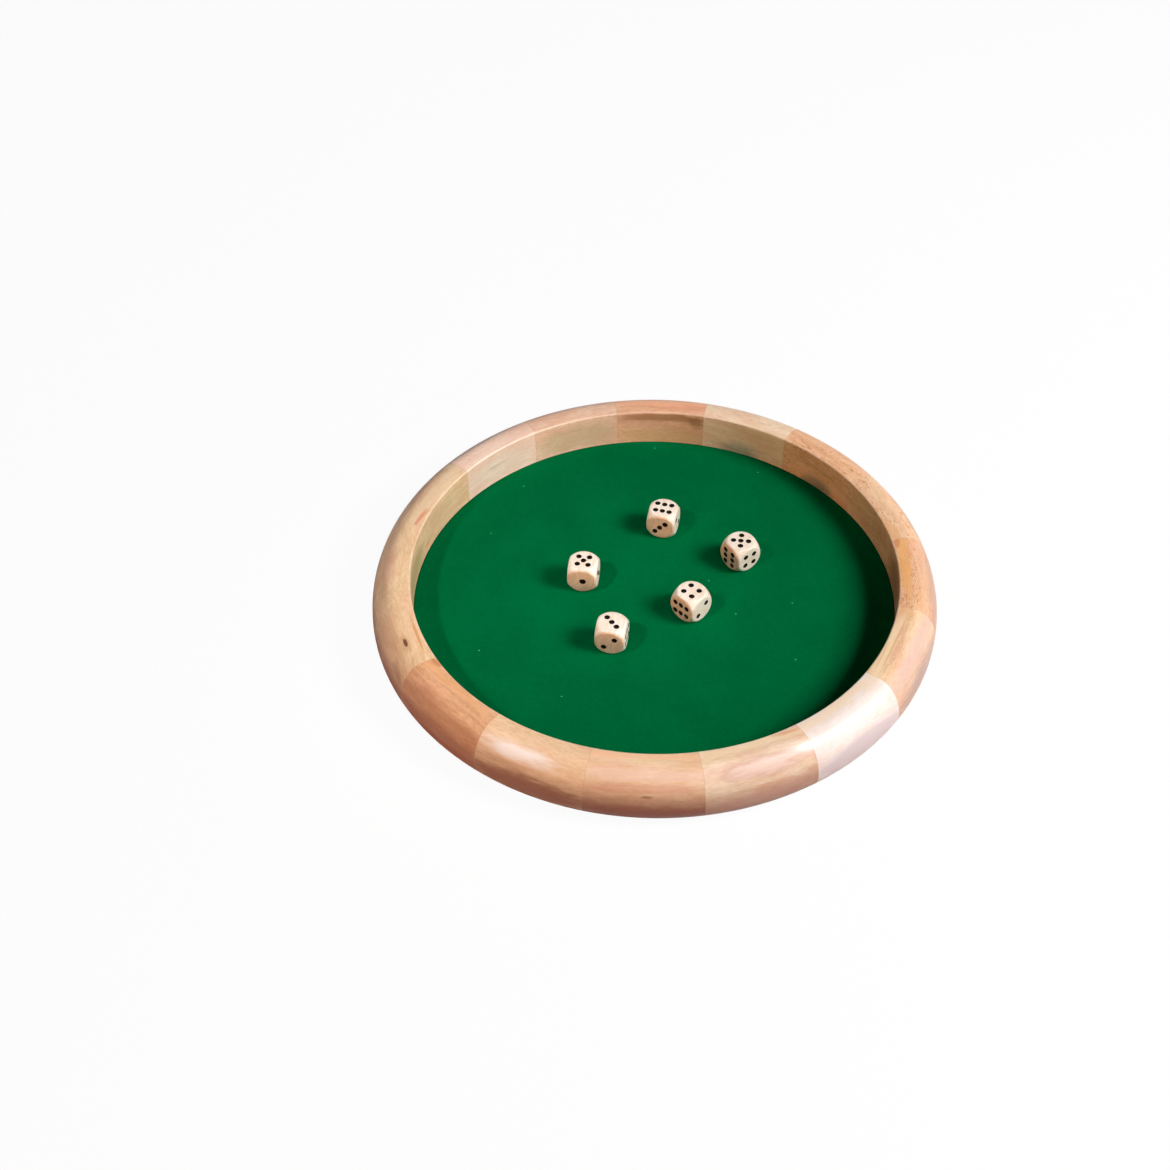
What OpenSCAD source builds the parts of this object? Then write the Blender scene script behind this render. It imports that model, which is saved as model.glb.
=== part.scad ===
// Round dice tray: a ring glued up from sixteen hardwood blocks, a felted floor screwed up
// into a rebate under it, and five wooden dice lying on the felt.
// Millimetres, +Z up, origin at the centre of the ring's flat foot, front towards -Y.

/* [Ring] */
// Outside diameter of the tray, across the ring's widest line
tray_d = 300; // [240:1:360]
// Height of the ring from its foot to its crest
ring_h = 30; // [26:0.5:40]
// Width of the ring from its inner wall to its widest line
ring_w = 21.5; // [19.5:0.5:30]
// Direction of the first glued joint, counterclockwise from +X
first_joint = 10.3; // [0:0.1:22.4]

/* [Ring section] */
// Width of the rounded outer edge, from the crest out to the widest line
outer_roll_w = 14; // [8:0.5:16]
// Height of the widest line above the foot
widest_z = 10.3; // [8:0.1:14]
// Width of the curve that runs in below the widest line
under_roll_w = 14; // [10:0.5:16]
// Depth of that curve which the flat foot cuts off
under_roll_cut = 0.7; // [0.3:0.1:3]
// Rise of the top face from its inner edge to the crest
crown = 0.5; // [0.1:0.1:1.5]
// Radius that eases the inner edge of the top face
inner_edge_r = 1; // [0.4:0.1:2]

/* [Floor] */
// Width of the ledge that the floor is screwed up against
ledge_w = 8; // [7:0.5:9]
// Gap all round between the floor and the wall of its rebate
floor_gap = 0.3; // [0.1:0.1:1]
// Thickness of the plywood board
board_t = 4; // [3:0.5:6]
// Thickness of the felt
felt_t = 1; // [0.5:0.1:2]
// Height of the board's underside above the foot
board_recess = 2.5; // [1:0.5:4]

/* [Screws] */
// Number of screws, each through the middle of a block
screw_count = 8; // [4, 8, 16]
// Diameter of the thread
screw_d = 2.5; // [2:0.1:3]
// Length of a screw, from the flat of its head to its point
screw_l = 12; // [9:1:16]
// Diameter of the countersunk head
screw_head_d = 5; // [4:0.1:6]
// Length of the point
screw_tip_l = 2; // [1:0.5:3]
// Length of each of the two crossed drive slots
drive_slot_l = 2.8; // [2:0.1:3.2]
// Width of a drive slot
drive_slot_w = 0.6; // [0.4:0.1:0.8]
// Depth of the drive slots
drive_slot_deep = 0.8; // [0.4:0.1:1]

/* [Dice] */
// Edge length of a die, flat to flat
die_edge = 16; // [14:0.5:20]
// Radius of the ball that rounds the edges and corners off, over the edge length
corner_ball = 0.68; // [0.65:0.005:0.75]
// Diameter of a pip
pip_d = 2.9; // [2:0.1:3.2]
// Diameter of the single pip on the one
one_pip_d = 3.4; // [2.5:0.1:4]
// Depth of a drilled pip
pip_deep = 0.6; // [0.3:0.1:1]
// Distance of a corner pip from the middle of its face, along each edge
pip_offset = 2.9; // [2.4:0.1:3.3]
// Distance between neighbours in the rows of the six
six_pitch = 3.9; // [3.3:0.1:4]
// Distance of each row of the six from the middle of the face
six_row_offset = 2.8; // [2:0.1:3]

/* [Dice places] */
// Centre of the left die, from the tray's centre
left_die_at = [-37.6, 8.9]; // [-60:0.1:60]
// Turn of the left die about the vertical
left_die_turn = -6; // [-180:0.5:180]
// Centre of the front die, from the tray's centre
front_die_at = [-21, -36.5]; // [-60:0.1:60]
// Turn of the front die about the vertical
front_die_turn = -9; // [-180:0.5:180]
// Centre of the back die, from the tray's centre
back_die_at = [4.8, 52.4]; // [-60:0.1:60]
// Turn of the back die about the vertical
back_die_turn = -13; // [-180:0.5:180]
// Centre of the right die, from the tray's centre
right_die_at = [46.9, 26.9]; // [-60:0.1:60]
// Turn of the right die about the vertical
right_die_turn = -51.5; // [-180:0.5:180]
// Centre of the middle die, from the tray's centre
middle_die_at = [20.1, -12.5]; // [-60:0.1:60]
// Turn of the middle die about the vertical
middle_die_turn = -42.5; // [-180:0.5:180]

/* [Hidden] */

// The ring: sixteen equal sectors, so each block spans a sixteenth of the turn
block_count = 16;
block_span = 360 / block_count;
ring_r = tray_d / 2;
well_r = ring_r - ring_w;
crest_r = ring_r - outer_roll_w;

// The lower curve is an elliptical quarter that the foot cuts off before it is level
under_roll_h = widest_z + under_roll_cut;
foot_angle = asin(widest_z / under_roll_h);
foot_r = ring_r - under_roll_w * (1 - cos(foot_angle));

// The floor: felt on a board, pressed up against the ledge
felt_z = board_recess + board_t;
felt_top = felt_z + felt_t;
rebate_r = well_r + ledge_w;
floor_r = rebate_r - floor_gap;

// The screws stand on the middle of the ledge, one to every second block
screw_circle_r = well_r + ledge_w / 2;
blocks_per_screw = block_count / screw_count;
screw_head_h = (screw_head_d - screw_d) / 2;

// The pips of each face, on a face that looks up
corner_pair = [[1, 1], [-1, -1]] * pip_offset;
other_pair = [[1, -1], [-1, 1]] * pip_offset;
six_rows = [for (x = [-1 : 1], y = [-1, 1]) [x * six_pitch, y * six_row_offset]];

// Turns that bring the five, the three, the six, the five and the four on top,
// each with the neighbour that shows at the front
five_up_one_front = [0, 90, 270];
three_up_two_front = [90, 0, 270];
six_up_three_front = [180, 0, 0];
five_up_six_front = [0, 90, 90];
four_up_six_front = [270, 0, 0];

// Tones of the timber, and the tone of each block in turn
cream = "#ecd8ba";
straw = "#e2c497";
tan = "#d8b084";
peach = "#e0b08c";
salmon = "#d59e77";
amber = "#d09560";
block_tone = [
    straw, amber, straw, salmon, tan, cream, tan, straw,
    straw, salmon, cream, peach, peach, cream, peach, amber
];

ring_fn = 10 * block_count;
under_steps = 8;
outer_steps = 14;
top_steps = 4;
edge_steps = 4;
bore_fn = 32;
ball_fn = 96;
overcut = 1;

// Points of an elliptical arc, less its first, which the outline before it ends on
function arc(centre, radii, from, to, steps) = [
    for (i = [1 : steps])
        let (a = from + (to - from) * i / steps)
            [centre.x + radii.x * cos(a), centre.y + radii.y * sin(a)]
];

// Height of the gently crowned top face at radius r, level at the crest
function top_z(r) =
    ring_h - crown * pow((crest_r - r) / (crest_r - well_r - inner_edge_r), 2);

// Points of the top face from the crest in to the eased inner edge
function top_face() = [
    for (i = [1 : top_steps])
        let (r = crest_r - (crest_r - well_r - inner_edge_r) * i / top_steps) [r, top_z(r)]
];

function ring_section() = [
    [rebate_r, 0],
    [foot_r, 0],
    each arc([ring_r - under_roll_w, widest_z], [under_roll_w, under_roll_h],
        -foot_angle, 0, under_steps),
    each arc([crest_r, widest_z], [outer_roll_w, ring_h - widest_z], 0, 90, outer_steps),
    each top_face(),
    each arc([well_r + inner_edge_r, ring_h - crown - inner_edge_r],
        [inner_edge_r, inner_edge_r], 90, 180, edge_steps),
    [well_r, felt_top],
    [rebate_r, felt_top]
];

function block_start(k) = first_joint + (k - 1) * block_span;
function has_screw(k) = (k - 1) % blocks_per_screw == 0;

// The turned outside of a screw, head down on the board's underside
module screw_form() {
    cylinder(d1 = screw_head_d, d2 = screw_d, h = screw_head_h, $fn = bore_fn);
    cylinder(d = screw_d, h = screw_l - screw_tip_l, $fn = bore_fn);
    translate([0, 0, screw_l - screw_tip_l])
        cylinder(d1 = screw_d, d2 = 0, h = screw_tip_l, $fn = bore_fn);
}

// Children stand at the screw of block k, which lies on the block's middle line
module at_screw(k) {
    rotate([0, 0, block_start(k) + block_span / 2])
        translate([screw_circle_r, 0, board_recess])
            children();
}

module at_screws() {
    for (k = [1 : block_count])
        if (has_screw(k)) at_screw(k) children();
}

module ring_block(k) {
    color(block_tone[k - 1])
        difference() {
            rotate([0, 0, block_start(k)])
                rotate_extrude(angle = block_span, $fn = ring_fn)
                    polygon(ring_section());
            if (has_screw(k)) at_screw(k) screw_form();
        }
}

// A round sheet of the floor, drilled by the screws
module floor_disc(z, thickness) {
    difference() {
        translate([0, 0, z]) cylinder(r = floor_r, h = thickness, $fn = ring_fn);
        at_screws() screw_form();
    }
}

module base_board() {
    color("#d9bd8f") floor_disc(board_recess, board_t);
}

module play_felt() {
    color("#00663a") floor_disc(felt_z, felt_t);
}

module base_screw() {
    difference() {
        screw_form();
        for (turn = [0, 90])
            rotate([0, 0, turn])
                translate([-drive_slot_l / 2, -drive_slot_w / 2, -overcut])
                    cube([drive_slot_l, drive_slot_w, overcut + drive_slot_deep]);
    }
}

module base_screws() {
    color("silver") at_screws() base_screw();
}

// The pips of one face, drilled down into a face that looks up
module drilled(places, d) {
    for (p = places)
        translate([p.x, p.y, die_edge / 2 - pip_deep])
            cylinder(d = d, h = pip_deep + overcut, $fn = bore_fn);
}

// A die about its own centre, the one up, the two towards +X and the three towards +Y
module die() {
    difference() {
        color("#e9d2a8")
            intersection() {
                cube(die_edge, center = true);
                sphere(r = corner_ball * die_edge, $fn = ball_fn);
            }
        color("#15120f") {
            drilled([[0, 0]], one_pip_d);
            rotate([0, 90, 0]) drilled(corner_pair, pip_d);
            rotate([-90, 0, 0]) drilled([[0, 0], each corner_pair], pip_d);
            rotate([90, 0, 0]) drilled([each corner_pair, each other_pair], pip_d);
            rotate([0, -90, 0]) drilled([[0, 0], each corner_pair, each other_pair], pip_d);
            rotate([180, 0, 0]) drilled(six_rows, pip_d);
        }
    }
}

// A die lying on the felt
module lying_die(at, turn, tumble) {
    translate([at.x, at.y, felt_top + die_edge / 2])
        rotate([0, 0, turn])
            rotate(tumble)
                die();
}

module die_left() {
    lying_die(left_die_at, left_die_turn, five_up_one_front);
}

module die_front() {
    lying_die(front_die_at, front_die_turn, three_up_two_front);
}

module die_back() {
    lying_die(back_die_at, back_die_turn, six_up_three_front);
}

module die_right() {
    lying_die(right_die_at, right_die_turn, five_up_six_front);
}

module die_middle() {
    lying_die(middle_die_at, middle_die_turn, four_up_six_front);
}

ring_block(1);  // ring_block_01
ring_block(2);  // ring_block_02
ring_block(3);  // ring_block_03
ring_block(4);  // ring_block_04
ring_block(5);  // ring_block_05
ring_block(6);  // ring_block_06
ring_block(7);  // ring_block_07
ring_block(8);  // ring_block_08
ring_block(9);  // ring_block_09
ring_block(10);  // ring_block_10
ring_block(11);  // ring_block_11
ring_block(12);  // ring_block_12
ring_block(13);  // ring_block_13
ring_block(14);  // ring_block_14
ring_block(15);  // ring_block_15
ring_block(16);  // ring_block_16
base_board();
play_felt();
base_screws();
die_left();
die_front();
die_back();
die_right();
die_middle();
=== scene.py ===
"""Looks of a round dice tray: sixteen lacquered wood blocks glued into a ring round a green felt
floor, and five wooden dice with painted pips lying on the felt.

Metres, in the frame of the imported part: +Z up, the front of the tray towards -Y. Inside materials,
lengths are in millimetres.
"""

import math
import random

import bmesh
import bpy
from mathutils import Euler, Matrix, Vector, noise

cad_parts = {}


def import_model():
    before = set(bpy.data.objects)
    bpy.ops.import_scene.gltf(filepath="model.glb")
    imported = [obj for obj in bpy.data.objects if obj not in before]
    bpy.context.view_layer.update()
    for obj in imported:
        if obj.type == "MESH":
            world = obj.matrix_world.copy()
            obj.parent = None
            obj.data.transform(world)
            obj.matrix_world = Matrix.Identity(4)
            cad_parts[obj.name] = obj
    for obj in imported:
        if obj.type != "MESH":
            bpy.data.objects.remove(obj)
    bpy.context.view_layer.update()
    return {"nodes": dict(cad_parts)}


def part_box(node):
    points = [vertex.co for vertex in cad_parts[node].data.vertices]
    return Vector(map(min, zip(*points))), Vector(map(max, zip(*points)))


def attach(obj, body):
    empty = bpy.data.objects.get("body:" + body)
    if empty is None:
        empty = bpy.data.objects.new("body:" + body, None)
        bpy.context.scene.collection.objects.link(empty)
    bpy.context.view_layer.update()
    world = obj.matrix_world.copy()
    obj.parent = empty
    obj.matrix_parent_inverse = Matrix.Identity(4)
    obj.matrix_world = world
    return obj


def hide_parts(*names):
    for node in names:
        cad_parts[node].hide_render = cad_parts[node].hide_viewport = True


MM = 0.001
WHITE = (1, 1, 1, 1)

# Camera: its turn in degrees, its lens and sensor in millimetres
CAMERA_AT = (0, -0.648, 0.6525)
CAMERA_TURN = (45.46, 0.795, 2.445)
FOCAL_LENGTH = 52.31
SENSOR_WIDTH = 36

# Light
AMBIENT = 0.015
FLOOR_WHITE = (0.95, 0.95, 0.95, 1)
FLOOR_GLOW = 0.95
FLOOR_BOUNCE = "#856050"
FLOOR_REACH = 6
GLOW_TINT = "#ffcb9c"

# Ring section
OUTER_ROLL_W = 14 * MM
WIDEST_Z = 10.3 * MM
UNDER_ROLL_W = 14 * MM
UNDER_ROLL_CUT = 0.7 * MM
CROWN = 0.5 * MM
INNER_EDGE_R = 1 * MM
FOOT_EDGE = 0.4 * MM
NEAR_FOOT = 1 * MM
OUTER_ROLL_STEPS = 32
UNDER_ROLL_STEPS = 16
CROWN_STEPS = 10
INNER_EDGE_STEPS = 8

# Blocks: the first joint's direction is in degrees counterclockwise from +X
BLOCK_COUNT = 16
FIRST_JOINT = 10.3
BLOCK_STEPS = 24
SHARP_ANGLE = 35

# Felt
FELT_DIP_W = 0.9 * MM
FELT_DIP = 0.35 * MM
FELT_DIP_SHARES = (1, 0.7, 0.4, 0.15, 0)
FELT_WAVE = 0.1 * MM
FELT_WAVE_LENGTH = 28 * MM
FELT_RAGGED = 0.6
FELT_RAGGED_LENGTH = 4 * MM
FELT_RAGGED_LAYER = 0.3
FELT_STEPS = 192
FELT_RINGS = 48

# Dice: the ball that rounds a die off is given as a share of the die's edge
CORNER_BALL = 0.68
EDGE_SOFTNESS = 0.6 * MM
PIP_D = 2.9 * MM
ONE_PIP_D = 3.4 * MM
PIP_DEEP = 0.6 * MM
PIP_RIM = 0.06 * MM
PIP_WALL = 0.3 * MM
PIP_OFFSET = 2.9 * MM
SIX_PITCH = 3.9 * MM
SIX_ROW_OFFSET = 2.8 * MM
PIP_WANDER = 0.1 * MM
DIE_GRID = 44
DIE_SHARP_ANGLE = 40
PIP_STEPS = 40
PIP_BOWL_STEPS = 6
PAINT_INDEX = 1

# Each die's turn about the vertical and its tumble before that, in degrees, and its one's shift
DICE = {
    "left": (-6, (0, 90, 270), 0.5 * MM),
    "front": (-9, (90, 0, 270), 0),
    "back": (-13, (180, 0, 0), 0),
    "right": (-51.5, (0, 90, 90), 0),
    "middle": (-42.5, (270, 0, 0), 0),
}
# The end grain of a die is put on the pair of sides that faces this way most nearly, the front
# left, where the dice are in shade, so its deeper tone there is partly painted shade
END_GRAIN_SHADE_WAY = Vector((-0.5, -0.87, 0))

# Colours as pairs of a pale and a deep one
TONES = {
    "ivory": ("#fdf1ec", "#f3ddd0"),
    "cream": ("#f9dfc3", "#e8c39e"),
    "pearl": ("#f7d6c0", "#e9bea6"),
    "straw": ("#f5d1ab", "#e2b489"),
    "honey": ("#efcda5", "#d8ac7e"),
    "rose": ("#f0caad", "#daa88a"),
    "salmon": ("#f0bd99", "#d39670"),
    "rust": ("#e9b387", "#c88e62"),
    "amber": ("#f5c69e", "#dfa578"),
    "die": ("#f2e6da", "#e3cab2"),
    # End grain of the dice, also the painted shade of their sides that face the front left
    "die_end_grain_shade": ("#e0ae86", "#c4845a"),
    "paint": ("#20120d", "#0b0605"),
    "felt": ("#006b3a", "#00522b"),
    "plywood": ("#e6cb9f", "#c79c68"),
    "steel": ("#d9d8d2", "#b9b8b2"),
}

# Other colours
BLUSH = "#e4a688"
PORE = "#c07a3e"
GLUE = "#9a7048"
# The colour of the painted shade low on the outside of the ring
LOW_SHADE = "#91503c"
# The colour of the painted highlight along the edge between the top and the inner wall
EDGE_HIGHLIGHT = "#fbeedd"
DIE_PORE = "#b98a60"
LINT = "#4c9c72"
FELT_SHEEN = "#40b878"

# Noise: the lengths of its features along X, Y and Z, its detail and its roughness
NOISES = {
    "sway": ((60, 40, 40), 1, 0.5),
    "curl": ((3.5, 3, 3), 1, 0.5),
    "streaks": ((36, 2.2, 2.2), 3, 0.6),
    "blotches": ((13, 6, 6), 4, 0.6),
    "fibres": ((8, 0.5, 0.5), 2, 0.5),
    "flecks": ((3.2, 0.9, 0.9), 2, 0.5),
    "blush": ((22, 8, 8), 2, 0.5),
    "pores": ((5, 0.7, 0.7), 1, 0.5),
    "pore_crowds": ((30, 5, 5), 2, 0.5),
    "mark_edge": ((9, 1.8, 1.8), 3, 0.5),
    # Ragged edges of the painted shade and the painted edge highlight on the ring
    "painted_light_edge": ((7, 2.2, 2.2), 4, 0.6),
    "wear": ((14, 5, 5), 3, 0.5),
    "raised_grain": ((9, 0.6, 0.6), 2, 0.5),
    "die_lines": ((26, 0.8, 0.8), 3, 0.6),
    "die_patches": ((9, 4, 4), 2, 0.5),
    "die_rings": ((0.8, 0.8, 0.8), 2, 0.5),
    "die_end_edge": ((1.5, 1.5, 1.5), 2, 0.5),
    "die_pores": ((3, 0.2, 0.2), 1, 0.5),
    "paint": ((1.2, 1.2, 1.2), 3, 0.5),
    "felt_mat": ((0.45, 0.45, 0.45), 3, 0.7),
    "felt_tufts": ((1.7, 1.7, 1.7), 2, 0.5),
    "felt_mottle": ((26, 26, 26), 2, 0.5),
    "ply_sway": ((120, 60, 60), 2, 0.5),
    "ply_lines": ((1.0, 4.0, 1.2), 4, 0.6),
    "ply_fibres": ((14, 0.6, 0.6), 2, 0.5),
    "plating": ((1.5, 1.5, 1.5), 3, 0.5),
}

# Wood: lengths, shares and strengths of what makes up a block's colour
SWAY_REACH = (0, 9, 9)
BOARD_SHIFT = (211.0, 37.0, 53.0)
BAND_W = 4.0
BAND_LEAN = 0.04
BAND_GAIN = 2.2
STREAK_GAIN = 1.7
PORE_START = 0.56
PORE_SPREAD = 0.05
PORE_FULL = 0.66
MARK_END = 1.1
GLUE_FULL = 0.05
GLUE_GONE = 0.3
GLUE_STRENGTH = 0.2
INNER_ZONE = 4
# Painted shade low on the outside: the height where it starts, the height where it is full, and how
# ragged its top is
LOW_SHADE_TOP = 26
LOW_SHADE_FULL = 10
LOW_SHADE_RAGGED = 6.0
# Painted highlight along the edge between the top and the inner wall: its inset, where it is full and
# gone, how ragged it is and its strength
EDGE_HIGHLIGHT_INSET = 0.3
EDGE_HIGHLIGHT_FULL = 0.1
EDGE_HIGHLIGHT_GONE = 0.9
EDGE_HIGHLIGHT_RAGGED = 3.0
EDGE_HIGHLIGHT_STRENGTH = 0.18
BLOCK_ROUGHNESS = 0.55

# Wood of the dice, whose trunk has its heart just outside the die
DIE_ROUGHNESS = 0.45
FIRST_DIE_BOARD = 20
DIE_GRAIN_STEP = 3
DIE_HEART = (-3.0, -9.0)
# The end grain's deeper tone, partly painted shade: where it starts and where it is full, in from the
# side, and its strength
DIE_END_GRAIN_SHADE_START = 1.2
DIE_END_GRAIN_SHADE_FULL = 0.1
DIE_END_GRAIN_SHADE_STRENGTH = 0.75
DIE_PORE_STRENGTH = 0.3

# Lint on the felt: one speck at most in each cell, and in few cells
LINT_CELL = 15
LINT_RARITY = 0.93

# Plywood
PLY_SWAY = 40
PLY_STRETCH = 0.02


class Mark:
    """A patch of colour in a block, along the grain: a streak, pale patch or knot, and on some blocks
    painted highlight and painted shade. Its place is a turn in degrees from the block's middle, and a
    radius and a height, and its sizes are half lengths. Strength is how much of its colour shows,
    ragged how torn its edge is, and soft how wide the edge fades."""

    def __init__(self, code, turn, radius, height, sizes, strength=1.0, ragged=0.35, soft=0.7):
        self.colour = colour(code)
        angle = math.radians(turn)
        self.middle = (-radius * math.sin(angle), radius * math.cos(angle), height)
        self.sizes = sizes
        self.strength = strength
        self.ragged = ragged
        self.soft = soft


class Look:
    """What makes one block's look its own: its tones, where the heart of the trunk lies across the
    fibres, how far the fibres turn from the block's chord (grain, in degrees) and how far the finest
    of them wander (curl). Figure, pores, streaks and blush are the strengths of the growth bands, the
    pores, the streaks and the rosy patches; the last strength is that of the painted shade, a deeper
    tone low on the outside where shade falls. Some of its marks are painted light too."""

    def __init__(self, wood, heart, figure=0.2, pores=0.3, streaks=0.4, grain=0.0, blush=0.3,
                 curl=0.8, roll=0.4, marks=()):
        self.wood = wood
        self.heart = heart
        self.figure = figure
        self.pores = pores
        self.streaks = streaks
        self.grain = grain
        self.blush = blush
        self.curl = curl
        self.roll = roll
        self.marks = marks


def colour(code):
    """A linear colour from an sRGB one written such as #e8c9a0."""
    parts = [int(code[i : i + 2], 16) / 255 for i in (1, 3, 5)]
    linear = [p / 12.92 if p <= 0.04045 else ((p + 0.055) / 1.055) ** 2.4 for p in parts]
    return (*linear, 1)


# Marks on the ring: the radius of the inner wall, the height of the top, and the half length of a
# mark that runs right through its block
WALL = 128.5
TOP = 30
THROUGH = 60

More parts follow.
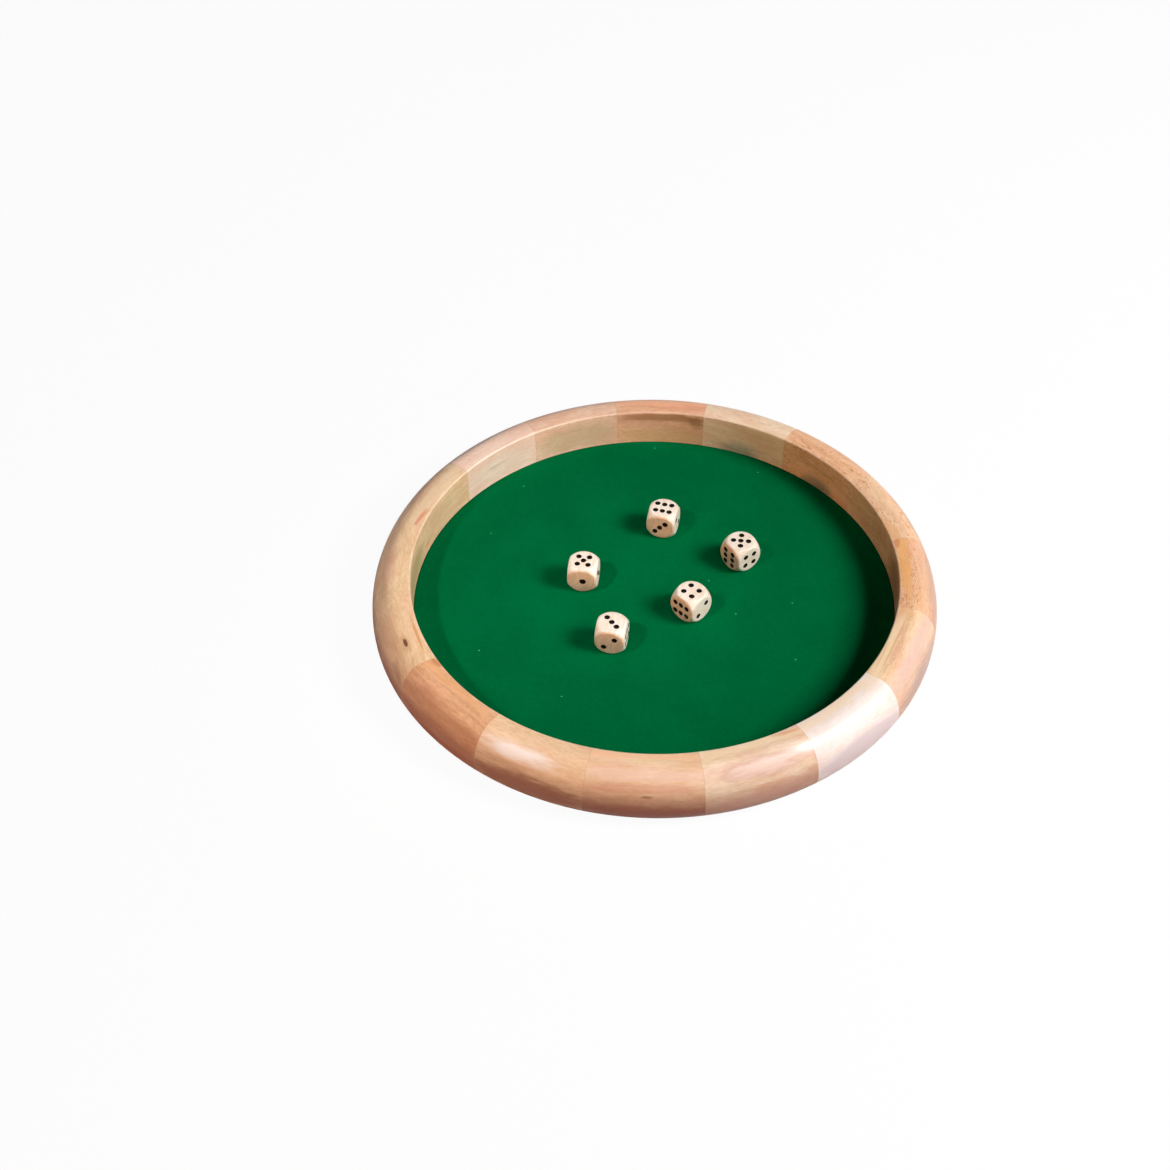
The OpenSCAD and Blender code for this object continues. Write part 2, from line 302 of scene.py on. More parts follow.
# One look for each block, counterclockwise from the first joint. Some marks are painted
# highlights, painted shade and painted bounced light, as the comments over them say.
BLOCK_LOOKS = [
    Look("straw", (150, -60), pores=0.7, curl=3.0, blush=0.4, roll=0.3, marks=[
        Mark("#dd9c5e", -8, 131, TOP, (14, 4, 3), 0.5),
        Mark("#8d5c34", 0, WALL, 20, (40, 3, 8), 0.15, 0.6),
        # Painted shade: a greyer, deeper tone on the rounded outer side
        Mark("#b88c7a", 0, 146, 23, (THROUGH, 5, 8), 0.75, 0.4),
    ]),
    Look("amber", (170, -30), pores=0.7, streaks=0.5, grain=4, curl=3.0, roll=0.4, marks=[
        Mark("#8f5a32", 0, WALL, 22, (24, 4, 3), 0.15, 0.6),
        # Painted light: a pale glow low on the inner wall, near the felt
        Mark("#ffc090", 0, WALL, 13, (40, 3, 7), 0.5, 0.5),
        # Painted shade: a greyer, deeper tone on the rounded outer side
        Mark("#aa8072", 0, 146, 23, (THROUGH, 5, 8), 0.75, 0.4),
    ]),
    Look("cream", (120, -80), pores=0.2, blush=0.3, roll=0.3, marks=[
        Mark("#cc9c70", 0, WALL, 18, (THROUGH, 4, 12), 0.2, 0.4),
        Mark("#9a6c44", 6, WALL, 11, (7, 3, 2), 0.2, 0.8),
    ]),
    Look("salmon", (140, -50), pores=0.1, blush=0.5, marks=[
        Mark("#e08c62", -4, 135, TOP, (26, 6, 4), 0.4),
        Mark("#ffbc94", 0, 137, TOP, (THROUGH, 4, 3), 0.6, 0.6),
        Mark("#a86c40", 0, WALL, 26, (80, 3, 3), 0.7),
        Mark("#8f5a34", -9.5, WALL, 24, (6, 3, 5), 0.6, 0.6),
        # Painted light: a pale glow low on the inner wall, near the felt
        Mark("#d8b078", 0, WALL, 13, (80, 3, 6), 0.4),
    ]),
    Look("rose", (100, -60), pores=0.1, blush=0.5, roll=0.8, marks=[
        # Painted light: a greenish tint on the inner wall that stands in for light bounced from the felt
        Mark("#b09a74", 0, WALL, 17, (THROUGH, 3, 10), 0.45, 0.4),
        # Painted shade: a greyer, deeper tone on the rounded outer side towards its edge
        Mark("#b48e8e", 0, 142, 28, (THROUGH, 4.5, 4), 0.5, 0.5),
    ]),
    Look("pearl", (130, -90), pores=0.1, blush=0.4, roll=1.0, marks=[
        # Painted light: a greenish tint on the inner wall that stands in for light bounced from the felt
        Mark("#e4e0cc", 0, WALL, 17, (THROUGH, 3, 10), 0.3, 0.4),
        Mark("#b09a7c", 1, WALL, 19, (9, 2, 1.4), 0.35, 0.8),
        # Painted shade: a greyer, deeper tone on the rounded outer side towards its edge
        Mark("#b08c88", 0, 142, 28, (THROUGH, 4.5, 4), 0.6, 0.5),
        Mark("#e8b8a0", 6, WALL, 12, (9, 3, 3), 0.4, 0.6),
    ]),
    Look("honey", (180, -40), pores=0.2, streaks=0.5, roll=1.0, marks=[
        Mark("#efd3b0", 0, 133, TOP, (THROUGH, 5, 3), 0.4),
        Mark("#d98a66", 8.5, 132, 29.7, (10, 1.6, 2), 0.85, 0.6),
        # Painted shade: a greyer, deeper tone on the rounded outer side towards its edge
        Mark("#b87c68", 0, 142.5, 28, (THROUGH, 4, 4), 0.4, 0.5),
        Mark("#cf7f58", 9.5, WALL, 13, (5, 2, 2.5), 0.4, 0.7),
        # Painted light: a greenish tint on the inner wall that stands in for light bounced from the felt
        Mark("#b8a47c", 0, WALL, 17, (THROUGH, 3, 10), 0.2, 0.4),
    ]),
    Look("honey", (140, -70), pores=0.1, roll=0.75, marks=[
        # Painted light: a greenish tint on the inner wall that stands in for light bounced from the felt
        Mark("#988c5c", 3, WALL, 16, (THROUGH, 3, 10), 0.6, 0.4),
        # Painted shade: a greyer, deeper tone on the rounded outer side towards its edge
        Mark("#bc8068", 0, 141, 28.5, (THROUGH, 5, 4), 0.25, 0.6),
    ]),
    Look("honey", (110, -50), pores=0.1, roll=1.0, marks=[
        Mark("#b88a5c", 4.6, 138.6, 29.6, (8, 2.6, 2.6), 0.5),
        Mark("#6e3210", 4.2, 138.5, 29.6, (3.4, 1.0, 1.0), 1.0, 0.25, 0.4),
        Mark("#d08c4c", 3, 131.2, 29.8, (15, 1.0, 1.5), 0.8, 0.5),
        Mark("#a2664a", 8, 147, 20, (9, 3, 5), 0.5, 0.6),
    ]),
    Look("rust", (160, -40), figure=0.3, pores=0.1, streaks=0.6, roll=0.75, marks=[
        Mark("#c2743c", -10, 130.5, 29.8, (5, 2.2, 2), 0.7, 0.6),
        Mark("#eaa870", -3, 132, TOP, (40, 3, 3), 0.5, 0.6),
        Mark("#b47650", 0, 145.5, 24, (THROUGH, 6, 7), 0.45, 0.6),
        # Painted shade: a deeper, redder tone low on the outside
        Mark("#99543c", 0, 149, 14, (THROUGH, 3, 8), 0.5),
    ]),
    Look("straw", (120, -60), figure=0.3, pores=0.15, blush=0.3, roll=0.6, marks=[
        # Painted highlight on the upper rounded outer side
        Mark("#fff0e8", -3, 143, 27, (26, 6, 5.5), 0.9, 0.5, 0.9),
        Mark("#b07a5e", 0, 147.5, 22, (THROUGH, 3, 3), 0.3, 0.9),
        # Painted shade: a deeper, redder tone low on the outside
        Mark("#8c4c34", 0, 149.5, 13, (THROUGH, 5, 8), 0.75, 0.5),
    ]),
    Look("straw", (140, -30), pores=0.1, streaks=0.5, blush=0.5, roll=0.95, marks=[
        # Painted sheen: a paler, pinker tone on the upper rounded outer side
        Mark("#f0c8b8", 0, 141, 28, (THROUGH, 5, 4), 0.5, 0.6),
        # Painted shade: a deeper tone halfway down the rounded outer side
        Mark("#d0876c", 0, 146, 24, (THROUGH, 3.4, 3.4), 0.5),
        Mark("#ffc69c", 0, 130.5, TOP, (THROUGH, 3, 3), 0.5, 0.6),
        Mark("#8a4c2c", 0.6, 148, 20.4, (3.4, 0.8, 1.0), 0.6, 0.4),
        # Painted shade: a deeper, redder tone low on the outside
        Mark("#95553e", 0, 150, 10, (THROUGH, 3, 6), 0.5, 0.5),
    ]),
    Look("cream", (148, 14), figure=0.3, pores=0.1, blush=0.5, roll=0.65, marks=[
        Mark("#eac0ae", 0, 142, 28, (THROUGH, 7, 6), 0.5, 0.5),
        # Painted highlight: the highlight of the next block spilling over the joint
        Mark("#fff2ea", 10.5, 141.5, 28, (16, 4.5, 4), 0.8, 0.5, 1.0),
        Mark("#be8470", 0.5, 143, 27, (25, 5.8, 7), 0.4, 0.4, 0.4),
        Mark("#f6dacd", 0.5, 143, 27, (23.5, 5, 6.2), 0.6, 0.7, 0.9),
        Mark("#ffddb4", 0, 130.5, TOP, (THROUGH, 3, 3), 0.5, 0.6),
        Mark("#dc9468", 8, 131, TOP, (9, 1.5, 2), 0.6, 0.5),
        # Painted shade: a deeper tone low on the outside
        Mark("#c89484", 0, 149.5, 12, (THROUGH, 3, 6), 0.5, 0.5),
    ]),
    Look("ivory", (130, -60), pores=0.05, streaks=0.3, blush=0.1, roll=0.1, marks=[
        Mark("#fbdcb8", 0, 131, TOP, (THROUGH, 3.6, 3), 0.7, 0.9),
        # Painted shade: a deeper pink line where the key light's highlight falls
        Mark("#ecd8d0", 0, 140, 29, (THROUGH, 3, 2), 0.6, 0.8),
        # Painted shade with a painted lilac reflection, low on the rounded outer side
        Mark("#d8c4c6", 0, 149, 14, (THROUGH, 3.5, 9), 0.8, 0.4),
    ]),
    Look("straw", (170, -60), pores=0.3, curl=2.4, blush=0.5, roll=0.2, marks=[
        Mark("#ffe0b6", -3, 131, TOP, (40, 3.5, 3), 0.7, 0.6),
        Mark("#e6aa74", 11, 132.5, TOP, (9, 5, 3), 0.7, 0.9, 1.0),
        Mark("#d9924e", 0, 133, TOP, (24, 0.7, 2), 0.5, 0.6),
        Mark("#de9c5c", -5, 130.5, TOP, (12, 0.7, 2), 0.4, 0.6),
        # Painted shade with a painted lilac reflection: the next two marks, on the rounded outer side
        Mark("#d2b2a8", 0, 143.5, 26.5, (THROUGH, 6, 7), 0.65, 0.5),
        Mark("#a88c8a", 0, 149.5, 15, (THROUGH, 6, 11), 0.75, 0.6, 1.0),
    ]),
    Look("amber", (130, -40), pores=0.75, streaks=0.5, curl=4.0, blush=0.4, roll=0.3, marks=[
        Mark("#eca85e", 3, 132, TOP, (30, 3.5, 3), 0.7, 0.6),
        # Painted shade: the next two marks deepen the rounded outer side
        Mark("#cca284", 0, 142, 28, (THROUGH, 6, 7), 0.5, 0.5),
        Mark("#b48e7e", 0, 147, 21, (THROUGH, 6, 10), 0.7, 0.5),
        Mark("#c87a34", 10, 131, TOP, (5, 2, 2), 0.6, 0.7),
        # Painted shade: a dark brown over the inner wall, which stands in shade
        Mark("#3c2410", 0, WALL, 18, (40, 3, 12), 0.5, 0.4),
    ]),
]


# Node trees


class Nodes:
    """A node tree, added to by short calls. A value is a socket, a number or a tuple."""

    def __init__(self, tree):
        self.tree = tree

    def put(self, socket, value):
        if isinstance(value, bpy.types.NodeSocket):
            self.tree.links.new(value, socket)
        else:
            socket.default_value = value

    def add(self, kind, *inputs, **settings):
        node = self.tree.nodes.new("ShaderNode" + kind)
        for name, value in settings.items():
            setattr(node, name, value)
        for socket, value in zip(node.inputs, inputs):
            self.put(socket, value)
        return node

    def maths(self, operation, *inputs):
        return self.add("Math", *inputs, operation=operation).outputs[0]

    def vector(self, operation, *inputs):
        return self.add("VectorMath", *inputs, operation=operation).outputs[0]

    def length(self, place):
        return self.add("VectorMath", place, operation="LENGTH").outputs["Value"]

    def split(self, place):
        return self.add("SeparateXYZ", place).outputs

    def join(self, x, y, z):
        return self.add("CombineXYZ", x, y, z).outputs[0]

    def turned(self, place, turn):
        node = self.add("VectorRotate", place, rotation_type="Z_AXIS")
        self.put(node.inputs["Angle"], math.radians(turn))
        return node.outputs[0]

    def place(self, turn=0.0):
        """Millimetres from the piece's own origin, along its own axes turned back about Z, with the
        turn in degrees."""
        found = self.add("TexCoord").outputs["Object"]
        found = self.vector("MULTIPLY", found, (1 / MM, 1 / MM, 1 / MM))
        return self.turned(found, -turn)

    def noise_outputs(self, place, kind):
        """The outputs of the noise that NOISES lists as kind."""
        lengths, detail, roughness = NOISES[kind]
        node = self.add("TexNoise", noise_dimensions="3D")
        self.put(node.inputs["Vector"], self.vector("DIVIDE", place, lengths))
        self.put(node.inputs["Scale"], 1)
        self.put(node.inputs["Detail"], detail)
        self.put(node.inputs["Roughness"], roughness)
        return node.outputs

    def noise(self, place, kind):
        return self.noise_outputs(place, kind)["Fac"]

    def ramp(self, value, start, end, low=0, high=1):
        """A smooth step from low at start to high at end."""
        node = self.add("MapRange", value, start, end, low, high, interpolation_type="SMOOTHSTEP")
        return node.outputs[0]

    def mix(self, factor, first, second):
        """A colour from first at 0 to second at 1. Its sockets go by number, since the node has
        others of the same names."""
        node = self.add("Mix", data_type="RGBA")
        self.put(node.inputs["Factor"], factor)
        self.put(node.inputs[6], first)
        self.put(node.inputs[7], second)
        return node.outputs[2]

    def seen_directly(self):
        """1 for what the camera sees, also in a reflection or through glass, and 0 for bounced light."""
        path = self.add("LightPath").outputs
        seen = self.maths("MAXIMUM", path["Is Camera Ray"], path["Is Glossy Ray"])
        return self.maths("MAXIMUM", seen, path["Is Transmission Ray"])


class Shader(Nodes):
    """One material's nodes."""

    def __init__(self, name):
        self.material = bpy.data.materials.new(name)
        self.material.use_nodes = True
        super().__init__(self.material.node_tree)
        self.surface = self.tree.nodes["Principled BSDF"]
        self.output = self.tree.nodes["Material Output"]

    def bump(self, height, deep, under=None):
        """Normals for a height from 0 to 1 that is worth deep, in millimetres."""
        node = self.add("Bump")
        self.put(node.inputs["Strength"], 1)
        self.put(node.inputs["Distance"], deep * MM)
        self.put(node.inputs["Height"], height)
        if under is not None:
            self.put(node.inputs["Normal"], under)
        return node.outputs[0]

    def finish(self, **values):
        """Sets the surface's sockets, such as Roughness or Coat_Weight, and returns the material."""
        for name, value in values.items():
            self.put(self.surface.inputs[name.replace("_", " ")], value)
        return self.material


# Materials


def about_middle(shader, value, gain):
    """How far a value from 0 to 1 lies off 0.5, times gain."""
    return shader.maths("MULTIPLY", shader.maths("SUBTRACT", value, 0.5), gain)


def toned(shader, tones, share):
    """A colour of the pair that TONES lists as tones, deep where share is 0 and pale where it is 1."""
    pale, deep = (colour(code) for code in TONES[tones])
    return shader.mix(share, deep, pale)


def blended(shader, *parts):
    """A share from 0 to 1, led off the middle by parts. Each is a value from 0 to 1 and its gain."""
    share = 0.5
    for value, gain in parts:
        share = shader.maths("ADD", share, about_middle(shader, value, gain))
    return shader.ramp(share, 0, 1)


def swayed(shader, place, kind, reach):
    """Places led to and fro by a kind of noise, by up to half of reach either way."""
    wave = shader.noise_outputs(place, kind)["Color"]
    centred = shader.vector("SUBTRACT", wave, (0.5, 0.5, 0.5))
    return shader.vector("ADD", place, shader.vector("MULTIPLY", centred, reach))


def wood_place(shader, place, board, grain):
    """Places with X along the fibres, as they are and shifted so that no two boards are alike. Both
    sway a little, so that no grain line is ruler straight."""
    shift = tuple(board * apart for apart in BOARD_SHIFT)
    shifted = shader.vector("ADD", shader.turned(place, grain), shift)
    shifted = swayed(shader, shifted, "sway", SWAY_REACH)
    return shader.vector("SUBTRACT", shifted, shift), shifted


def from_heart(shader, y, z, heart):
    """How far across the fibres a place lies from the heart of the trunk."""
    off_y = shader.maths("SUBTRACT", y, heart[0])
    off_z = shader.maths("SUBTRACT", z, heart[1])
    return shader.length(shader.join(0.0, off_y, off_z))


def growth_bands(shader, straight, heart):
    """Bands from 0 to 1 round the heart of the trunk, of uneven width."""
    x, y, z = shader.split(straight)
    lean = shader.maths("MULTIPLY_ADD", x, BAND_LEAN, from_heart(shader, y, z, heart))
    bands = shader.add("TexNoise", noise_dimensions="1D")
    shader.put(bands.inputs["W"], shader.maths("DIVIDE", lean, BAND_W))
    shader.put(bands.inputs["Scale"], 1)
    shader.put(bands.inputs["Detail"], 2)
    return bands.outputs["Fac"]


def wood_colours(shader, place, look, board):
    """(colour, pores) of bare wood. The pores are 1 in a pore and 0 between."""
    straight, shifted = wood_place(shader, place, board, look.grain)
    curled = swayed(shader, shifted, "curl", (0, look.curl, look.curl))
    share = blended(
        shader,
        (growth_bands(shader, straight, look.heart), BAND_GAIN * look.figure),
        (shader.noise(shifted, "streaks"), STREAK_GAIN * look.streaks),
        (shader.noise(shifted, "blotches"), 1.1),
        (shader.noise(shifted, "fibres"), 0.5),
        (shader.noise(curled, "flecks"), 1.0),
    )
    wood = toned(shader, look.wood, share)
    blush = shader.ramp(shader.noise(shifted, "blush"), start=0.42, end=0.68, high=look.blush)
    wood = shader.mix(blush, wood, colour(BLUSH))
    start = PORE_START - PORE_SPREAD * look.pores
    pores = shader.ramp(shader.noise(curled, "pores"), start, PORE_FULL)
    crowding = shader.ramp(shader.noise(shifted, "pore_crowds"), start=0.32, end=0.52)
    pores = shader.maths("MULTIPLY", pores, crowding)
    wood = shader.mix(shader.maths("MULTIPLY", pores, look.pores), wood, colour(PORE))
    return wood, pores


def painted_shade_and_highlight(shader, place, wood, roll, well_r, ring_h):
    """Wood with painted light on it: painted shade, a deeper, redder tone low on the outside as strong
    as the given share, and a pale painted highlight along the edge between the top and the inner wall."""
    x, y, z = shader.split(place)
    radius = shader.length(shader.join(x, y, 0.0))
    ragged = about_middle(shader, shader.noise(place, "painted_light_edge"), 1.0)
    # Painted shade: a deeper, redder tone low on the outside, where shade falls
    height = shader.maths("MULTIPLY_ADD", ragged, LOW_SHADE_RAGGED, z)
    outside = shader.maths("GREATER_THAN", radius, well_r / MM + INNER_ZONE)
    low = shader.maths("MULTIPLY", shader.ramp(height, LOW_SHADE_TOP, LOW_SHADE_FULL, 0, roll), outside)
    wood = shader.mix(low, wood, colour(LOW_SHADE))
    # Painted highlight: a pale line along the edge between the top and the inner wall
    off_side = shader.maths("SUBTRACT", radius, well_r / MM + EDGE_HIGHLIGHT_INSET)
    off_top = shader.maths("SUBTRACT", z, (ring_h - CROWN) / MM - EDGE_HIGHLIGHT_INSET)
    away = shader.length(shader.join(off_side, off_top, 0.0))
    away = shader.maths("MULTIPLY_ADD", ragged, EDGE_HIGHLIGHT_RAGGED, away)
    return shader.mix(shader.ramp(away, EDGE_HIGHLIGHT_FULL, EDGE_HIGHLIGHT_GONE, EDGE_HIGHLIGHT_STRENGTH, 0), wood, colour(EDGE_HIGHLIGHT))


def marked(shader, place, wood, marks):
    """Wood with its marks, each laid over the ones before it."""
    for mark in marks:
        off = shader.vector("SUBTRACT", place, mark.middle)
        away = shader.length(shader.vector("DIVIDE", off, mark.sizes))
        rough = about_middle(shader, shader.noise(place, "mark_edge"), 2 * mark.ragged)
        edge = shader.maths("ADD", away, rough)
        inside = shader.ramp(edge, MARK_END - mark.soft, MARK_END, mark.strength, 0)
        wood = shader.mix(inside, wood, mark.colour)
    return wood


def glue_line(shader, place, wood):
    """A hairline of glue where two blocks meet, on the planes half a block either side of X = 0."""
    x, y, _ = shader.split(place)
    half = math.radians(180 / BLOCK_COUNT)
    outer = shader.maths("MULTIPLY", y, math.sin(half))
    reach = shader.maths("MULTIPLY", shader.maths("ABSOLUTE", x), math.cos(half))
    inside = shader.maths("SUBTRACT", outer, reach)
    return shader.mix(shader.ramp(inside, GLUE_FULL, GLUE_GONE, GLUE_STRENGTH, 0), wood, colour(GLUE))


def lacquered(shader, place, wood, pores, roughness):
    """Satin lacquer over wood, sunk a little into the pores."""
    worn = shader.noise(place, "wear")
    normal = shader.bump(shader.noise(place, "raised_grain"), deep=0.012)
    normal = shader.bump(shader.maths("SUBTRACT", 1, pores), deep=0.02, under=normal)
    return shader.finish(
        Base_Color=wood,
        Roughness=shader.ramp(worn, start=0.25, end=0.75, low=roughness - 0.06, high=roughness + 0.08),
        Normal=normal,
        Specular_IOR_Level=0.25,
        Coat_Weight=0.5,
        Coat_Roughness=0.36,
    )


def block_middle(number):
    """Direction of a block's middle line, in degrees counterclockwise from +X."""
    return FIRST_JOINT + 360 / BLOCK_COUNT * (number - 0.5)


def block_material(number, well_r, ring_h):
    """Wood whose X runs along the block's chord and whose Y runs out through its middle."""
    shader = Shader(f"ring_wood_{number:02d}")
    look = BLOCK_LOOKS[number - 1]
    place = shader.place(block_middle(number) - 90)
    wood, pores = wood_colours(shader, place, look, number)
    # Painted shade low on the outside and a painted highlight along the inner edge
    wood = painted_shade_and_highlight(shader, place, wood, look.roll, well_r, ring_h)
    # Marks: streaks, patches and knots, and among them painted highlights, painted shade and painted
    # bounced light
    wood = marked(shader, place, wood, look.marks)
    wood = glue_line(shader, place, wood)
    return lacquered(shader, place, wood, pores, BLOCK_ROUGHNESS)


def die_wood_material(seed, fibres, edge):
    """Pale wood with a deeper tone on the two end-grain sides, which face along fibres, one of the
    die's own axes. These sides are turned to the front left, where the die is shaded, so their deeper
    tone is partly painted shade."""
    shader = Shader(f"die_wood_{seed}")
    own = shader.split(shader.place())
    x, y, z = (own[(fibres + i) % 3] for i in range(3))
    place = shader.join(x, y, z)
    _, shifted = wood_place(shader, place, FIRST_DIE_BOARD + seed, DIE_GRAIN_STEP * seed)
    lines = shader.noise(shifted, "die_lines")
    patches = shader.noise(shifted, "die_patches")
    wood = toned(shader, "die", blended(shader, (lines, 1.6), (patches, 1.0)))
    away = from_heart(shader, y, z, DIE_HEART)
    rings = shader.noise(shader.join(away, 0.0, 0.0), "die_rings")
    # End grain, which on these dice also stands for the shade on the sides that face the front left
    end = toned(shader, "die_end_grain_shade", shader.ramp(rings, start=0.35, end=0.65))
    half = edge / MM / 2
    ragged = about_middle(shader, shader.noise(place, "die_end_edge"), 1.5)
    facing = shader.maths("ADD", shader.maths("ABSOLUTE", x), ragged)
    end_grain_shade = shader.ramp(facing, half - DIE_END_GRAIN_SHADE_START, half - DIE_END_GRAIN_SHADE_FULL, 0, DIE_END_GRAIN_SHADE_STRENGTH)
    wood = shader.mix(end_grain_shade, wood, end)
    pores = shader.ramp(shader.noise(shifted, "die_pores"), start=0.62, end=0.75)
    wood = shader.mix(shader.maths("MULTIPLY", pores, DIE_PORE_STRENGTH), wood, colour(DIE_PORE))
    return lacquered(shader, place, wood, pores, DIE_ROUGHNESS)


def pip_material():
    shader = Shader("pip_paint")
    worn = shader.noise(shader.place(), "paint")
    return shader.finish(
        Base_Color=toned(shader, "paint", shader.ramp(worn, start=0.35, end=0.75)),
        Roughness=shader.ramp(worn, start=0.3, end=0.7, low=0.55, high=0.8),
        Normal=shader.bump(worn, deep=0.03),
        Specular_IOR_Level=0.05,
    )


def felt_material():
    """Pressed green felt: matted fibres, a soft mottle and a few specks of pale lint."""
    shader = Shader("green_felt")
    place = shader.place()
    mat = shader.noise(place, "felt_mat")
    tufts = shader.noise(place, "felt_tufts")
    mottle = shader.noise(place, "felt_mottle")
    green = toned(shader, "felt", blended(shader, (mat, 0.8), (tufts, 0.35), (mottle, 0.4)))
    lint = shader.add("TexVoronoi", voronoi_dimensions="2D", feature="F1")
    shader.put(lint.inputs["Vector"], shader.vector("DIVIDE", place, (LINT_CELL,) * 3))
    shader.put(lint.inputs["Scale"], 1)
    speck = shader.ramp(lint.outputs["Distance"], start=0.015, end=0.045, low=1, high=0)
    chosen = shader.maths("GREATER_THAN", shader.split(lint.outputs["Color"])[0], LINT_RARITY)
    green = shader.mix(shader.maths("MULTIPLY", speck, chosen), green, colour(LINT))
    return shader.finish(
        Base_Color=green,
        Roughness=0.95,
        Normal=shader.bump(mat, deep=0.12),
        Specular_IOR_Level=0.0,
        Sheen_Weight=0.02,
        Sheen_Roughness=0.6,
        Sheen_Tint=colour(FELT_SHEEN),
    )


def plywood_material():
    shader = Shader("plywood")
    place = shader.place()
    x, y, z = shader.split(place)
    sway = about_middle(shader, shader.noise(place, "ply_sway"), PLY_SWAY)
    across = shader.join(shader.maths("MULTIPLY", x, PLY_STRETCH), shader.maths("ADD", y, sway), z)
    lines = shader.noise(across, "ply_lines")
    fibres = shader.noise(place, "ply_fibres")
    return shader.finish(
        Base_Color=toned(shader, "plywood", blended(shader, (lines, 1.6), (fibres, 0.6))),
        Roughness=0.62,
        Normal=shader.bump(fibres, deep=0.03),
    )


def screw_material():
    shader = Shader("screw_steel")
    plating = shader.noise(shader.place(), "plating")
    return shader.finish(
        Base_Color=toned(shader, "steel", plating),
        Metallic=1,
        Roughness=shader.ramp(plating, start=0.3, end=0.7, low=0.28, high=0.45),
    )


# Meshes


def new_object(name, mesh, sharp_angle=SHARP_ANGLE):
    mesh.shade_smooth()
    mesh.set_sharp_from_angle(angle=math.radians(sharp_angle))
    made = bpy.data.objects.new(name, mesh)
    bpy.context.scene.collection.objects.link(made)
    return made


def mesh_of(name, points, faces, material):
    mesh = bpy.data.meshes.new(name)
    mesh.from_pydata(points, [], faces)
    mesh.materials.append(material)
    mesh.update()
    return mesh


def mesh_from(shape, name):
    """A bmesh as a mesh. The bmesh is freed."""
    mesh = bpy.data.meshes.new(name)
    shape.to_mesh(mesh)
    shape.free()
    return mesh


def arc(centre, radii, start, end, steps):
    """Points of an elliptical arc, less its first, which the outline before it ends on."""
    found = []
    for i in range(1, steps + 1):
        angle = math.radians(start + (end - start) * i / steps)
        found.append((centre[0] + radii[0] * math.cos(angle), centre[1] + radii[1] * math.sin(angle)))
    return found


def ring_section(ring_r, ring_h, well_r, rebate_r, ledge_z):
    """The ring's outline as (radius, height), from the foot's inner edge and up round the outside."""
    crest_r = ring_r - OUTER_ROLL_W
    under_h = WIDEST_Z + UNDER_ROLL_CUT
    foot_angle = math.degrees(math.asin(WIDEST_Z / under_h))
    foot_r = ring_r - UNDER_ROLL_W * (1 - math.cos(math.radians(foot_angle)))
    slope_w = crest_r - well_r - INNER_EDGE_R
    under_roll = (ring_r - UNDER_ROLL_W, WIDEST_Z), (UNDER_ROLL_W, under_h)
    outer_roll = (crest_r, WIDEST_Z), (OUTER_ROLL_W, ring_h - WIDEST_Z)
    inner_edge = (well_r + INNER_EDGE_R, ring_h - CROWN - INNER_EDGE_R), (INNER_EDGE_R, INNER_EDGE_R)
    outline = [(rebate_r, FOOT_EDGE), (rebate_r + FOOT_EDGE, 0), (foot_r, 0)]
    outline += arc(*under_roll, -foot_angle, 0, UNDER_ROLL_STEPS)
    outline += arc(*outer_roll, 0, 90, OUTER_ROLL_STEPS)
    for i in range(1, CROWN_STEPS + 1):
        outline.append((crest_r - slope_w * i / CROWN_STEPS, ring_h - CROWN * (i / CROWN_STEPS) ** 2))
    outline += arc(*inner_edge, 90, 180, INNER_EDGE_STEPS)
    return outline + [(well_r, ledge_z), (rebate_r, ledge_z)]


def ring_block(number, section, material):
    """One block, which is the section swept through its share of the ring."""
    span = 360 / BLOCK_COUNT
    points = []
    for step in range(BLOCK_STEPS + 1):
        angle = math.radians(block_middle(number) + span * (step / BLOCK_STEPS - 0.5))
        points += [(r * math.cos(angle), r * math.sin(angle), z) for r, z in section]
    n = len(section)
    faces = [list(range(n)), [BLOCK_STEPS * n + i for i in reversed(range(n))]]
    for step in range(BLOCK_STEPS):
        for i in range(n):
            a = step * n + i
            b = step * n + (i + 1) % n
            faces.append([b, a, a + n, b + n])
    return new_object(f"wood_block_{number:02d}", mesh_of("block", points, faces, material))


def felt_disc(well_r, felt_r, low, high, material):
    """The felt, a little uneven, dipping at the wall and pressed flat under the ledge."""
    radii = [well_r * i / FELT_RINGS for i in range(1, FELT_RINGS)]
    radii += [well_r - FELT_DIP_W * share for share in FELT_DIP_SHARES] + [felt_r]
    radii = sorted(set(radii))
    turns = [2 * math.pi * step / FELT_STEPS for step in range(FELT_STEPS)]
    points = [(0, 0, high), (0, 0, low)]
    for radius in radii:
        pressed = min(1, max(0, (radius - well_r + FELT_DIP_W) / FELT_DIP_W))
        for turn in turns:
            x, y = radius * math.cos(turn), radius * math.sin(turn)
            wave = noise.noise(Vector((x, y, 0)) / FELT_WAVE_LENGTH)
            torn = noise.noise(Vector((x, y, FELT_RAGGED_LAYER)) / FELT_RAGGED_LENGTH)
            dip = FELT_DIP * pressed**2 * (1 + FELT_RAGGED * torn)
            points.append((x, y, high - (FELT_WAVE * (0.5 + 0.5 * wave) + dip)))
    top_count = len(points)
    points += [(felt_r * math.cos(turn), felt_r * math.sin(turn), low) for turn in turns]
    faces = []
    rings = [2 + FELT_STEPS * i for i in range(len(radii))] + [top_count]
    for step in range(FELT_STEPS):
        after = (step + 1) % FELT_STEPS
        faces.append([0, rings[0] + step, rings[0] + after])
        faces.append([1, top_count + after, top_count + step])
        for inner, outer in zip(rings, rings[1:]):
            faces.append([inner + step, outer + step, outer + after, inner + after])
    return new_object("felt_floor", mesh_of("felt", points, faces, material))


def smooth_min(a, b, softness):
    """The smaller of two numbers, blended where they are less than softness apart."""
    near = max(softness - abs(a - b), 0) / softness
    return min(a, b) - near * near * softness / 4


